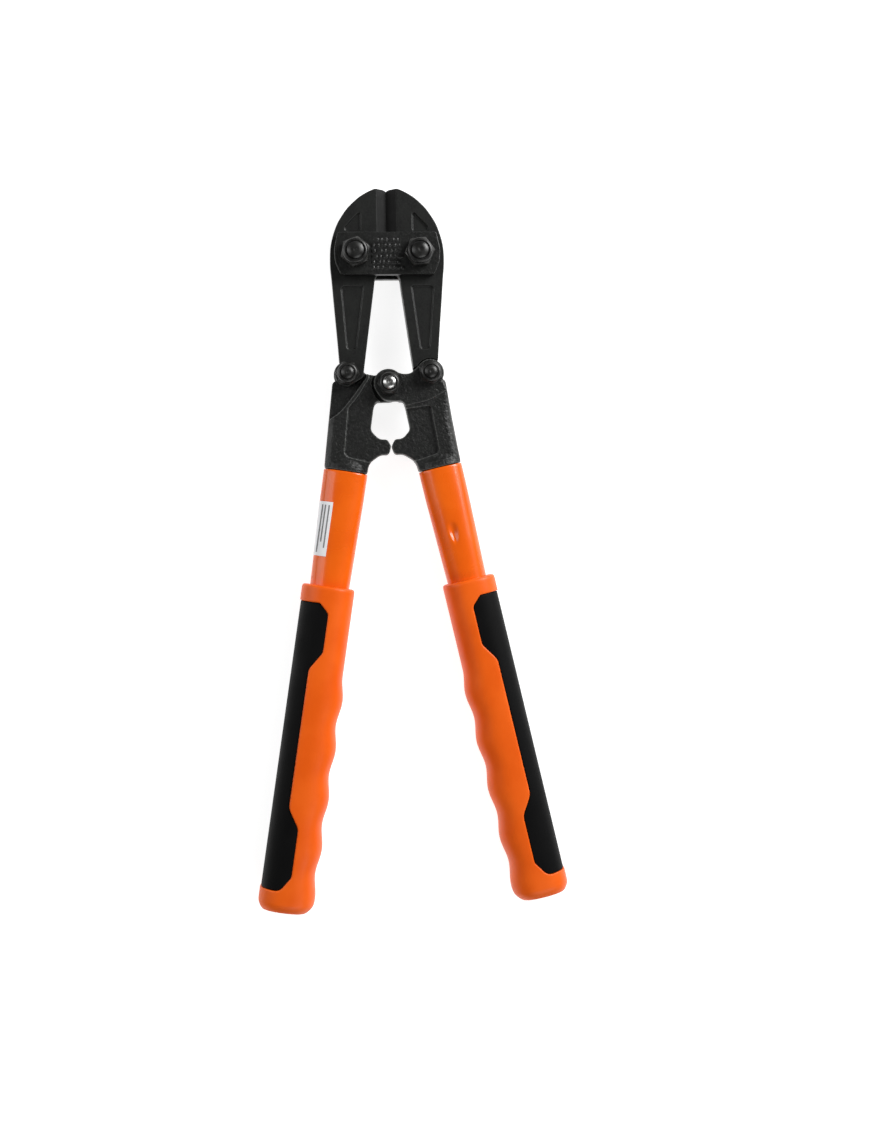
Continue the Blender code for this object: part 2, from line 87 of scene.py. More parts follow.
TOP_ROUND, TOP_PULL, END_ROUND, END_PULL = 1.4, 0.9, 4.2, 1.95
SOCKET_GAP, SOCKET_END = 0.3, 174
FINGER_FIRST, FINGER_PITCH, FINGER_RISE = 86.3, 21.0, 1.4
PAD_DEPTH, PAD_SUNK, PAD_GAP = 2.4, 0.4, 0.12
PAD_START, PAD_FOOT, PAD_BEYOND = 56.5, 177.9, 15
PAD_OUTLINE = (
    (PAD_BEYOND, PAD_START, 0), (3, PAD_START, 0.1), (-1, 60.5, 3), (-1, 77, 4), (3.9, 84.5, 5),
    (4.0, 143, 6), (-1, 151, 5), (-1, 171.5, 3), (3.2, PAD_FOOT, 4), (PAD_BEYOND, PAD_FOOT, 0),
)  # across, along, corner radius
LABEL_START, LABEL_END, LABEL_EDGE = 14, 37, 3.4
LABEL_LINES = ((35.6, 7.35), (31.0, 6.15), (33.5, 4.6))  # where each line ends, and its inner edge
LINE_START, LINE_WIDTH = 15.4, 0.55
BIG = {"shank": 3.5, "flats": 11.0, "hex": 3.8, "neck": 5.3, "neck_high": 2.0, "head": 6.0}
SMALL = {"shank": 2.75, "flats": 9.0, "hex": 2.9, "neck": 4.3, "neck_high": 1.5, "head": 4.9}
BORE_GAP, LOOSE_BORE = 0.3, 4.7
THROUGH = 9  # cutters run from -THROUGH to THROUGH, past every layer
JAW_SEAT, JAW_BOLT_TOP = 8.1, 15.5
EYE_SEAT, RIB_SEAT, TOGGLE_BOLT_RISE = 5.3, 4.3, 5.7


# ---------------------------------------------------------------- materials

class Nodes:
    """A short way to write a material's node tree."""

    def __init__(self, name):
        self.material = bpy.data.materials.new(name)
        self.material.use_nodes = True
        self.tree = self.material.node_tree
        self.shader = self.tree.nodes["Principled BSDF"]
        self.place = self.tree.nodes.new("ShaderNodeTexCoord").outputs["Object"]

    def node(self, kind, settings=(), **inputs):
        made = self.tree.nodes.new("ShaderNode" + kind)
        for key, value in dict(settings).items():
            setattr(made, key, value)
        for key, value in inputs.items():
            self.feed(made.inputs[int(key[1:]) if key[0] == "_" else key.replace("_", " ")], value)
        return made

    def feed(self, socket, value):
        if isinstance(value, bpy.types.NodeSocket):
            self.tree.links.new(value, socket)
        else:
            socket.default_value = value

    def stretched(self, scale):
        return self.node("Mapping", Vector=self.place, Scale=scale).outputs[0]

    def noise(self, scale, detail=3.0, rough=0.5, at=None):
        return self.node("TexNoise", Vector=at or self.place, Scale=scale, Detail=detail,
                         Roughness=rough).outputs[0]

    def span(self, value, low, high, to_low, to_high):
        return self.node("MapRange", _0=value, _1=low, _2=high, _3=to_low, _4=to_high).outputs[0]

    def mix(self, share, first, second):
        made = self.node("Mix", {"data_type": "RGBA"})
        self.feed(made.inputs[0], share)
        self.feed(made.inputs[6], first)
        self.feed(made.inputs[7], second)
        return made.outputs[2]

    def math(self, operation, first, second=0.0):
        return self.node("Math", {"operation": operation}, _0=first, _1=second).outputs[0]

    # Per-point edge mark, read by the materials to lighten outward edges as wear and as a painted
    # highlight.
    def wear_and_highlight(self):
        return self.node("Attribute", {"attribute_name": "wear_and_highlight"}).outputs["Fac"]

    def bump(self, height, distance, strength, after=None):
        made = self.node("Bump", Strength=strength, Distance=distance, Height=height)
        if after:
            self.feed(made.inputs["Normal"], after)
        return made.outputs[0]

    def finish(self, **sockets):
        for key, value in sockets.items():
            self.feed(self.shader.inputs[key.replace("_", " ")], value)
        return self.material


def rgb(r, g, b):
    return (r, g, b, 1.0)


FLOOR_GLOW = 0.85


def forged_black(name, edge, relief):
    """Black paint on a cast skin: mottled, pitted, and lighter along its outward edges, partly rubbed wear
    and partly a painted highlight.
    """
    n = Nodes(name)
    blotch = n.noise(150, 5, 0.65)
    grain = n.noise(1500, 4, 0.65)
    pits = n.noise(700, 3, 0.6)
    base = n.mix(n.span(blotch, 0.36, 0.64, 0, 1), rgb(0.0018, 0.0019, 0.0018), rgb(0.0085, 0.009, 0.0082))
    base = n.mix(n.span(pits, 0.4, 0.62, 0, 0.6), base, rgb(0.014, 0.0147, 0.0137))
    # Outward edges are painted lighter: partly rubbed paint, partly a painted highlight where edges would
    # catch the light.
    rub_and_highlight = n.math("MULTIPLY", n.wear_and_highlight(), n.span(grain, 0.35, 0.65, 0.35, 1))
    colour = n.mix(n.math("MULTIPLY", rub_and_highlight, edge), base, rgb(0.15, 0.155, 0.147))
    rough = n.math("SUBTRACT", n.span(blotch, 0.3, 0.7, 0.46, 0.30), n.math("MULTIPLY", n.wear_and_highlight(), 0.08))
    coarse = n.bump(pits, relief, 0.9)
    return n.finish(Base_Color=colour, Roughness=rough, Metallic=0.05, Specular_IOR_Level=0.42,
                    Normal=n.bump(grain, 0.00012, 0.9, coarse))


def blade_steel():
    """Satin black, with fine grinding lines on the faces beside the cutting edge."""
    n = Nodes("blade_steel")
    split = n.node("SeparateXYZ", Vector=n.place)
    aside = n.math("ABSOLUTE", n.math("SUBTRACT", split.outputs[0], DATUM.x))
    above = n.math("SUBTRACT", split.outputs[1], DATUM.y)
    ground = n.math("MULTIPLY", n.span(aside, 0.0040, 0.0042, 1, 0), n.span(above, 0.0462, 0.0464, 0, 1))
    blotch = n.noise(1.0, 5, 0.65, n.stretched((210, 110, 150)))
    grain = n.noise(1500, 3, 0.6)
    lines = n.noise(1.0, 2, 0.5, n.stretched((2600, 60, 60)))
    base = n.mix(n.span(blotch, 0.40, 0.62, 0, 1), rgb(0.0020, 0.0022, 0.0020), rgb(0.0130, 0.0138, 0.0127))
    base = n.mix(n.span(grain, 0.4, 0.62, 0, 0.45), base, rgb(0.014, 0.0148, 0.0137))
    base = n.mix(ground, base, n.mix(lines, rgb(0.0006, 0.0007, 0.0006), rgb(0.0035, 0.0038, 0.0034)))
    # Outward edges painted lighter: partly wear, partly a painted highlight where edges would catch the
    # light.
    colour = n.mix(n.math("MULTIPLY", n.wear_and_highlight(), 0.3), base, rgb(0.075, 0.077, 0.073))
    rough = n.math("ADD", n.span(blotch, 0.3, 0.7, 0.48, 0.34), n.math("MULTIPLY", ground, 0.34))
    skin = n.bump(grain, 0.00009, 0.8)
    fine = n.bump(n.math("MULTIPLY", lines, ground), 0.00003, 0.6, skin)
    return n.finish(Base_Color=colour, Roughness=rough, Metallic=0.05, Specular_IOR_Level=0.42, Normal=fine)


def fastener_black():
    n = Nodes("fastener_black")
    blotch = n.noise(350, 3, 0.55)
    grain = n.noise(2400, 2, 0.5)
    base = n.mix(n.span(blotch, 0.35, 0.65, 0, 1), rgb(0.007, 0.007, 0.0067), rgb(0.016, 0.016, 0.0152))
    # Outward edges painted lighter: partly wear, partly a painted highlight where edges would catch the
    # light.
    colour = n.mix(n.math("MULTIPLY", n.wear_and_highlight(), 0.22), base, rgb(0.12, 0.12, 0.113))
    return n.finish(Base_Color=colour, Roughness=n.span(blotch, 0.3, 0.7, 0.30, 0.42), Metallic=0.35,
                    Specular_IOR_Level=0.7, Normal=n.bump(grain, 0.00002, 0.5))


def bright_steel():
    n = Nodes("bright_steel")
    blotch = n.noise(500, 3, 0.6)
    base = n.mix(n.span(blotch, 0.35, 0.65, 0, 1), rgb(0.36, 0.36, 0.355), rgb(0.56, 0.56, 0.55))
    return n.finish(Base_Color=base, Roughness=n.span(blotch, 0.3, 0.7, 0.22, 0.36), Metallic=1.0,
                    Normal=n.bump(n.noise(2600, 2), 0.00002, 0.6))


def nylon_black():
    n = Nodes("nylon_black")
    grain = n.noise(1800, 2, 0.5)
    base = n.mix(grain, rgb(0.004, 0.004, 0.004), rgb(0.009, 0.009, 0.009))
    return n.finish(Base_Color=base, Roughness=n.span(grain, 0.3, 0.7, 0.5, 0.65),
                    Normal=n.bump(grain, 0.00002, 0.5))


def orange_enamel():
    n = Nodes("orange_enamel")
    blotch = n.noise(60, 3, 0.5)
    peel = n.noise(700, 2, 0.4)
    base = n.mix(n.span(blotch, 0.35, 0.65, 0, 1), rgb(0.80, 0.110, 0.0015), rgb(0.86, 0.130, 0.002))
    return n.finish(Base_Color=base, Roughness=n.span(blotch, 0.3, 0.7, 0.24, 0.31), Coat_Weight=0.25,
                    Coat_Roughness=0.15, Specular_IOR_Level=0.35, Normal=n.bump(peel, 0.00003, 0.5))


def orange_vinyl():
    n = Nodes("orange_vinyl")
    blotch = n.noise(70, 3, 0.5)
    grain = n.noise(1300, 3, 0.55)
    base = n.mix(n.span(blotch, 0.35, 0.65, 0, 1), rgb(0.82, 0.106, 0.0015), rgb(0.88, 0.124, 0.002))
    return n.finish(Base_Color=base, Roughness=n.span(blotch, 0.3, 0.7, 0.38, 0.47), Specular_IOR_Level=0.3,
                    Normal=n.bump(grain, 0.00005, 0.7))


def black_rubber():
    n = Nodes("black_rubber")
    blotch = n.noise(80, 3, 0.5)
    grain = n.noise(1700, 3, 0.6)
    base = n.mix(n.span(blotch, 0.35, 0.65, 0, 1), rgb(0.0004, 0.0004, 0.0005), rgb(0.0012, 0.0012, 0.0013))
    return n.finish(Base_Color=base, Roughness=n.span(blotch, 0.3, 0.7, 0.55, 0.68),
                    Specular_IOR_Level=0.12, Normal=n.bump(grain, 0.00004, 0.7))


def label_white():
    n = Nodes("label_white")
    fibre = n.noise(900, 3, 0.6)
    base = n.mix(fibre, rgb(0.84, 0.845, 0.86), rgb(0.90, 0.905, 0.92))
    return n.finish(Base_Color=base, Roughness=n.span(fibre, 0.3, 0.7, 0.36, 0.48),
                    Normal=n.bump(fibre, 0.00001, 0.4))


def label_ink():
    n = Nodes("label_ink")
    fibre = n.noise(1500, 3, 0.6)
    base = n.mix(fibre, rgb(0.10, 0.10, 0.11), rgb(0.22, 0.22, 0.23))
    return n.finish(Base_Color=base, Roughness=n.span(fibre, 0.3, 0.7, 0.4, 0.5))


def floor_pale():
    n = Nodes("floor_pale")
    cloud = n.noise(3, 2, 0.5)
    base = n.mix(cloud, rgb(0.50, 0.50, 0.50), rgb(0.53, 0.53, 0.53))
    return n.finish(Base_Color=base, Roughness=n.span(cloud, 0.3, 0.7, 0.75, 0.85), Specular_IOR_Level=0.1,
                    Emission_Color=rgb(1, 1, 1), Emission_Strength=FLOOR_GLOW)


FORGED = forged_black("forged_black", 0.9, 0.00045)
PLATE = forged_black("plate_black", 0.05, 0.00018)
BLADE = blade_steel()
FASTENER = fastener_black()
BRIGHT = bright_steel()
NYLON = nylon_black()
ENAMEL = orange_enamel()
VINYL = orange_vinyl()
RUBBER = black_rubber()
LABEL = label_white()
INK = label_ink()


# ---------------------------------------------------------------- outlines

def arc(centre, radius, start, end, steps):
    points = []
    for step in range(steps + 1):
        angle = math.radians(start + (end - start) * step / steps)
        points.append((centre[0] + radius * math.cos(angle), centre[1] + radius * math.sin(angle)))
    return points


def rounded(corners, step_angle=6.0):
    """A closed outline from (x, y, radius) corners."""
    outline = []
    for index, (x, y, radius) in enumerate(corners):
        corner = Vector((x, y))
        if radius == 0:
            outline.append((x, y))
            continue
        before = (Vector(corners[index - 1][:2]) - corner).normalized()
        after = (Vector(corners[(index + 1) % len(corners)][:2]) - corner).normalized()
        half = before.angle(after) / 2
        reach = radius / math.tan(half)
        centre = corner + (before + after).normalized() * (radius / math.sin(half))
        first = corner + before * reach - centre
        turn = (corner + after * reach - centre).angle_signed(first)
        steps = max(1, round(abs(math.degrees(turn)) / step_angle))
        for step in range(steps + 1):
            outline.append(tuple(centre + Matrix.Rotation(turn * step / steps, 2) @ first))
    return outline


def smoothed(points, per_span=6):
    """A smooth open line through points, by Catmull-Rom spans."""
    ends = [Vector(p) for p in (points[0], *points, points[-1])]
    line = []
    for a, b, c, d in zip(ends, ends[1:], ends[2:], ends[3:]):
        for step in range(per_span):
            t = step / per_span
            line.append(tuple(0.5 * (2 * b + (c - a) * t + (2 * a - 5 * b + 4 * c - d) * t * t
                                     + (3 * b - a - 3 * c + d) * t ** 3)))
    return line + [tuple(ends[-1])]


def sway(point, degrees):
    depth = (CENTRE[1] - point[1]) / (CENTRE[1] - COLLAR[1])
    turn = math.radians(degrees) * min(max(depth, 0.0), 1.0)
    x, y = point[0] - CENTRE[0], point[1] - CENTRE[1]
    return (CENTRE[0] + x * math.cos(turn) - y * math.sin(turn),
            CENTRE[1] + x * math.sin(turn) + y * math.cos(turn))


# ---------------------------------------------------------------- meshes

def new_mesh(form):
    bmesh.ops.remove_doubles(form, verts=form.verts, dist=0.0005)
    bmesh.ops.recalc_face_normals(form, faces=form.faces)
    mesh = bpy.data.meshes.new("made")
    form.to_mesh(mesh)
    form.free()
    return mesh


def flat_mesh(outline, low, high):
    curve = bpy.data.curves.new("outline", "CURVE")
    curve.dimensions = "2D"
    curve.fill_mode = "BOTH"
    curve.extrude = (high - low) / 2
    spline = curve.splines.new("POLY")
    spline.points.add(len(outline) - 1)
    for point, (x, y) in zip(spline.points, outline):
        point.co = (x, y, 0, 1)
    spline.use_cyclic_u = True
    guide = bpy.data.objects.new("outline", curve)
    bpy.context.scene.collection.objects.link(guide)
    graph = bpy.context.evaluated_depsgraph_get()
    mesh = bpy.data.meshes.new_from_object(guide.evaluated_get(graph))
    bpy.data.objects.remove(guide)
    form = bmesh.new()
    form.from_mesh(mesh)
    bmesh.ops.translate(form, verts=form.verts, vec=(0, 0, (low + high) / 2))
    return new_mesh(form)


def cylinder_mesh(at, radius, low, high, sides=64, turn=0.0):
    form = bmesh.new()
    bmesh.ops.create_cone(form, cap_ends=True, segments=sides, radius1=radius, radius2=radius,
                          depth=high - low)
    mesh = new_mesh(form)
    place = Matrix.Translation((at[0], at[1], (low + high) / 2))
    mesh.transform(place @ Matrix.Rotation(math.radians(turn), 4, "Z"))
    return mesh


def turned_mesh(at, profile, sides=64):
    form = bmesh.new()
    ring = [form.verts.new((radius, 0, z)) for radius, z in profile]
    for upper, lower in zip(ring, ring[1:]):
        form.edges.new((upper, lower))
    bmesh.ops.spin(form, geom=form.verts[:] + form.edges[:], axis=(0, 0, 1), cent=(0, 0, 0),
                   angle=math.tau, steps=sides, use_duplicate=False)
    mesh = new_mesh(form)
    mesh.transform(Matrix.Translation((at[0], at[1], 0)))
    return mesh


def oval_ring(along, inner, outer, thick, squareness, sides):
    ring = []
    for side in range(sides):
        angle = math.tau * side / sides
        across = abs(math.cos(angle)) ** (2 / squareness)
        up = abs(math.sin(angle)) ** (2 / squareness)
        x = outer * across if math.cos(angle) >= 0 else -inner * across
        ring.append((x, -along, math.copysign(thick * up, math.sin(angle))))
    return ring


def loft_mesh(rings, closed=False):
    """Skin rings of points. A closed loft joins its last ring to its first, else it has caps."""
    form = bmesh.new()
    made = [[form.verts.new(point) for point in ring] for ring in rings]
    pairs = list(zip(made, made[1:] + ([made[0]] if closed else [])))
    for ring, following in pairs:
        for side in range(len(ring)):
            beyond = (side + 1) % len(ring)
            form.faces.new((ring[side], ring[beyond], following[beyond], following[side]))
    if not closed:
        form.faces.new(made[0])
        form.faces.new(made[-1])
    return new_mesh(form)


def oval_mesh(stations, sides=72):
    return loft_mesh([oval_ring(*station, TUBE_SQUARENESS, sides) for station in stations])


def evaluated(mesh, modifiers):
    """The mesh after a list of (type, settings) modifiers."""
    scene = bpy.context.scene.collection
    body = bpy.data.objects.new("work", mesh)
    scene.objects.link(body)
    helpers = []
    for kind, settings in modifiers:
        modifier = body.modifiers.new(kind.lower(), kind)
        for key, value in settings.items():
            if isinstance(value, bpy.types.Mesh):
                value = bpy.data.objects.new("helper", value)
                scene.objects.link(value)
                helpers.append(value)
            setattr(modifier, key, value)
    graph = bpy.context.evaluated_depsgraph_get()
    result = bpy.data.meshes.new_from_object(body.evaluated_get(graph))
    for item in [body, *helpers]:
        bpy.data.objects.remove(item)
    return result


def step(operation, mesh):
    return ("BOOLEAN", {"operation": operation, "solver": "EXACT", "object": mesh})


def softened(mesh, voxel, rounds, keep):
    """Forged or moulded skin: an even mesh, its edges worn round, then thinned where flat."""
    even = evaluated(mesh, [("REMESH", {"mode": "VOXEL", "voxel_size": voxel})])
    return evaluated(even, [
        ("SMOOTH", {"factor": 0.5, "iterations": rounds}),
        ("DECIMATE", {"ratio": keep}),
    ])


def crisp(mesh, width):
    """Machined edges: a small rounded chamfer."""
    return evaluated(mesh, [("BEVEL", {"width": width, "segments": 2, "limit_method": "ANGLE",
                                       "angle_limit": math.radians(35)})])


def mark_wear_and_highlight(mesh, start=0.35, full=1.5):
    """Store how strongly each point stands out as an outward edge, from 0 to 1; the materials lighten these
    edges partly as wear and partly as a painted highlight.
    """
    count = len(mesh.vertices)
    place, normal = np.empty(count * 3), np.empty(count * 3)
    mesh.vertices.foreach_get("co", place)
    mesh.vertices.foreach_get("normal", normal)
    place, normal = place.reshape(-1, 3), normal.reshape(-1, 3)
    ends = np.empty(len(mesh.edges) * 2, int)
    mesh.edges.foreach_get("vertices", ends)
    first, second = ends[0::2], ends[1::2]
    along = place[second] - place[first]
    bend = ((normal[second] - normal[first]) * along).sum(1) / np.maximum((along ** 2).sum(1), 1e-9)
    total, edges = np.zeros(count), np.zeros(count)
    for side in (first, second):
        np.add.at(total, side, bend)
        np.add.at(edges, side, 1)
    curve = total / np.maximum(edges, 1)
    spread, around = curve.copy(), np.ones(count)
    np.add.at(spread, first, curve[second])
    np.add.at(spread, second, curve[first])
    np.add.at(around, first, 1)
    np.add.at(around, second, 1)
    wear_and_highlight = np.clip((spread / around - start) / (full - start), 0, 1)
    mesh.attributes.new("wear_and_highlight", "FLOAT", "POINT").data.foreach_set("value", wear_and_highlight.astype(np.float32))


def turned_over(mesh, side):
    if side < 0:
        mesh.transform(Matrix.Rotation(math.pi, 4, "Y"))
    return mesh


def on_handle(mesh, side):
    lean = HANDLE_LEAN + side * REST_SWAY
    foot = sway(COLLAR, side * REST_SWAY)
    mesh.transform(Matrix.Translation((*foot, 0)) @ Matrix.Rotation(math.radians(lean), 4, "Z"))
    return turned_over(mesh, side)


def piece(name, mesh, finish, body, slot, *nodes, sharp=None, wear_and_highlight=True):
    """Place a finished mesh as a piece of the tool, riding on a body."""
    if wear_and_highlight:
        mark_wear_and_highlight(mesh)
    mesh.transform(Matrix.Translation(DATUM) @ Matrix.Scale(MM, 4))
    mesh.name = name
    mesh.materials.clear()
    mesh.materials.append(finish)
    mesh.shade_smooth()
    if sharp:
        mesh.set_sharp_from_angle(angle=math.radians(sharp))
    made = bpy.data.objects.new(name, mesh)
    bpy.context.scene.collection.objects.link(made)
    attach(made, body)
    if nodes:
        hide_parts(*nodes)
    return made


# ---------------------------------------------------------------- jaws and link plates

# Rows of plain raised bars in the middle of the link plate.
RELIEF_WIDTHS = (5.6, 6.6, 6.6, 6.6, 6.6, 7.4)
RELIEF_LENGTHS = (1.9, 1.1, 1.5, 2.3, 1.2)
RELIEF_TOP, RELIEF_PITCH = 55.6, 2.35
RELIEF_HALF, RELIEF_RISE = 0.6, 0.34
RELIEF_SPACE, RELIEF_LEAST = 0.55, 0.9


def bore_waste(at, size):
    return cylinder_mesh(at, size["shank"] + BORE_GAP, -THROUGH, THROUGH)


def bevel_waste(front):
    """What the ground face beside the cutting edge takes off one side of the jaw."""
    slope = math.atan2(JAW_HALF - EDGE_LAND, BEVEL_WIDTH)
    mesh = flat_mesh([(-5, 46), (9, 46), (9, 80), (-5, 80)], 0, 6)
    mesh.transform(Matrix.Translation((0, 0, EDGE_LAND)) @ Matrix.Rotation(-slope, 4, "Y"))
    if not front:
        mesh.transform(Matrix.Scale(-1, 4, (0, 0, 1)))
        mesh.flip_normals()
    return mesh


def drafted(outline, floor, rim, draft):
    """The waste of a recess with sloping walls: narrower at its floor, full size at its rim."""
    points = [Vector(point) for point in outline]
    area = sum(a.cross(b) for a, b in zip(points, points[1:] + points[:1]))
    inward = []
    for before, here, after in zip([points[-1]] + points[:-1], points, points[1:] + [points[0]]):
        way = ((here - before).normalized() + (after - here).normalized()).normalized()
        normal = Vector((-way.y, way.x)) if area > 0 else Vector((way.y, -way.x))
        inward.append(here + normal * draft)
    beyond = rim + 5 * (rim - floor)
    return loft_mesh([[(*point, floor) for point in inward], [(*point, rim) for point in points],
                      [(*point, beyond) for point in points]])


def make_jaw(word, side):
    back = [(-0.1, 77.3), (1.1, 77.86), *smoothed(JAW_BACK, 4), (20.75, 4.0)]
    curved = [(x, y, 0) for x, y in back + arc(TOGGLE, 5.3, 25, -95, 30)]
    front = [
        (10.9, -1.6, 2.6), (5.75, 36.1, 0), (5.35, 39.6, 0), (4.6, 41.6, 1), (0.9, 45.0, 1.5),
        (-0.1, 50.0, 0),
    ]
    pocket = rounded([(10.9, 69.0, 0.8), (18.0, 61.6, 1.2), (17.4, 60.1, 0.8), (10.8, 60.1, 0.8)])
    panel = rounded([(9.95, 37.1, 0.8), (19.7, 37.0, 1.6), (17.6, 10.1, 1.4), (13.5, 10.1, 1.4)])
    lap = arc(TOGGLE, 6.2, 15, 152, 30) + [(8, 1.4), (8, -8), (26, -8)]
    cuts = [bore_waste(JAW_PIVOT, BIG), bore_waste(TOGGLE, SMALL), flat_mesh(lap, -LAP, THROUGH),
            bevel_waste(True), bevel_waste(False)]
    for outline in (pocket, panel):
        for face in (1, -1):
            floor, rim = face * (JAW_HALF - JAW_RECESS), face * JAW_HALF
            cuts.append(drafted(outline, floor, rim, RECESS_DRAFT))
    blank = flat_mesh(rounded(curved + front), -JAW_HALF, JAW_HALF)
    shape = softened(evaluated(blank, [step("DIFFERENCE", cut) for cut in cuts]), 0.17, 3, 0.3)
    piece(f"jaw_{word}_forged", turned_over(shape, side), BLADE, f"jaw_{word}", "blade", f"jaw_{word}")


def relief_bars(low, high):
    """Rows of short raised bars, each row starting at another length."""
    bars = []
    for row, width in enumerate(RELIEF_WIDTHS):
        y = RELIEF_TOP - row * RELIEF_PITCH
        top, foot = y + RELIEF_HALF, y - RELIEF_HALF
        left, index = -width, row
        while left < width - RELIEF_LEAST:
            right = min(left + RELIEF_LENGTHS[index % len(RELIEF_LENGTHS)], width)
            corners = ((left, top), (right, top), (right, foot), (left, foot))
            outline = rounded([(*corner, 0.3) for corner in corners], 30)
            bars.append(step("UNION", flat_mesh(outline, low, high)))
            left, index = right + RELIEF_SPACE, index + 1
    return bars


def make_plate(word, low, high):
    half = [(20.7, 58.95, 1.0), (22.3, 52.0, 10), (22.0, 46.5, 8), (19.7, 41.1, 1.5)]
    outline = rounded(half + [(-x, y, radius) for x, y, radius in reversed(half)])
    bores = [(side * JAW_PIVOT[0], JAW_PIVOT[1]) for side in (1, -1)]
    steps = [step("DIFFERENCE", bore_waste(at, BIG)) for at in bores]
    face = high if low > 0 else low
    steps += relief_bars(face - RELIEF_RISE, face + RELIEF_RISE)
    shape = softened(evaluated(flat_mesh(outline, low, high), steps), 0.17, 3, 0.3)
    piece(f"link_plate_{word}_forged", shape, PLATE, "head", "forged", f"link_plate_{word}")


# ---------------------------------------------------------------- bolts and nuts

BOLT_HEAD = 3.5
THREADS, THREAD_PITCH = 5, 0.5
COLLAR_WALL = 1.25  # of the nut's neck, round the locking ring


def make_bolt(name, body, at, size, head_face, shank_top, finish, slot):
    """A bolt with a low round head, a few threads at its other end and a dimpled, domed tip."""
    shank, head = size["shank"], size["head"]
    low = head_face - BOLT_HEAD
    tip = ((0, 0.16), (0.16, 0.15), (0.24, 0.02), (0.5, 0.12), (0.76, 0.38), (0.92, 0.68))
    profile = [(shank * share, shank_top - drop) for share, drop in tip]
    for turn in range(THREADS):
        top = shank_top - 0.85 - turn * THREAD_PITCH
        profile += [(shank - 0.03, top), (shank - 0.28, top - THREAD_PITCH / 2)]
    profile += [(shank, shank_top - 3.5), (shank, head_face), (head, head_face)]
    for share, drop in ((1, 1.5), (0.975, 1.95), (0.92, 2.5), (0.80, 3.1)):
        profile.append((head * share, head_face - drop))
    for share, rise in ((0.66, 0.08), (0.60, 0), (0.36, 0), (0.33, 0.3), (0, 0.35)):
        profile.append((head * share, low + rise))
    piece(f"{name}_turned", turned_mesh(at, profile), finish, body, slot, name, sharp=45, wear_and_highlight=False)


def make_nut(name, body, at, size, seat, turn):
    """A hexagon lock nut: chamfered corners, a rolled neck and the locking ring inside it."""
    top, flats, neck, shank = seat + size["hex"], size["flats"], size["neck"], size["shank"]
    corner, crown = flats / math.sqrt(3), seat + size["hex"] + size["neck_high"]
    hexagon = cylinder_mesh(at, corner, seat, top, 6, turn)
    mouth_radius, ring_in = neck - COLLAR_WALL, shank + 0.06
    lathe = [(0, top), (flats / 2 - 0.05, top), (corner + 0.05, top - 0.85),
             (corner + 0.05, seat + 0.45), (flats / 2, seat), (0, seat)]
    rolled = [(0, crown), (neck - 1.0, crown), (neck - 0.55, crown - 0.12), (neck - 0.2, crown - 0.42),
              (neck, crown - 0.9), (neck + 0.05, top - 0.1), (neck + 0.05, seat + 1), (0, seat + 1)]
    mouth = [(0, crown + 1), (mouth_radius, crown + 1), (mouth_radius, crown - 0.75),
             (shank + 0.1, crown - 0.75), (shank + 0.1, seat - 1), (0, seat - 1)]
    steps = [step("INTERSECT", turned_mesh(at, lathe)), step("UNION", turned_mesh(at, rolled)),
             step("DIFFERENCE", turned_mesh(at, mouth))]
    shape = crisp(evaluated(hexagon, steps), 0.14)
    piece(f"{name}_hex", shape, FASTENER, body, "fastener", name, sharp=40)
    ring = [(ring_in, crown - 0.8), (ring_in + 0.06, crown - 0.68), (mouth_radius - 0.09, crown - 0.68),
            (mouth_radius - 0.03, crown - 0.8), (mouth_radius - 0.03, crown - 1.2), (ring_in, crown - 1.2),
            (ring_in, crown - 0.8)]
    piece(f"{name}_ring", turned_mesh(at, ring), NYLON, body, "fastener", sharp=40, wear_and_highlight=False)


# ---------------------------------------------------------------- handle forgings

SIDE_TOP, SIDE_FOOT = (23.8, -3.0), (29.1, -38.6)
ROUND_FROM, ROUND_SPAN, ROUND_STEPS = -4.5, 38.5, 24
ROUND_LEAST, ROUND_GROWTH, GROWTH_STEPS = 0.3, 3.1, 9
# along, half widths on the inner and outer side, half thickness
COLLAR_STATIONS = ((-9, 7.2, 8.0, 3.2), (-4.6, 8.3, 8.7, 4.4), (-2.6, 9.0, 9.0, 5.6), (0, 9.1, 9.1, 5.85))
TANG_STATIONS = ((-2, 7.6, 7.6, 4.2), (22, 7.25, 7.25, 4.2))


def outer_waste(lean, face):
    """What rounds the shank's outer side: the corner outside a quarter round, swept along it."""
    rings = []
    (top_x, top_y), (foot_x, foot_y) = SIDE_TOP, SIDE_FOOT
    for index in range(ROUND_STEPS + 1):
        y = ROUND_FROM - ROUND_SPAN * index / ROUND_STEPS
        x = top_x + (foot_x - top_x) * (top_y - y) / (top_y - foot_y)
        radius = ROUND_LEAST + ROUND_GROWTH * min(1.0, index / GROWTH_STEPS)
        ring = [(x + 3, RIB_HALF + 3), (x - radius, RIB_HALF + 3)]
        ring += [(x - radius + radius * math.sin(a), RIB_HALF - radius + radius * math.cos(a))
                 for a in (math.pi / 2 * share / 8 for share in range(9))]
        ring.append((x + 3, RIB_HALF - radius))
        rings.append([(*sway((across, y), lean), up * face) for across, up in ring])
    return loft_mesh(rings)


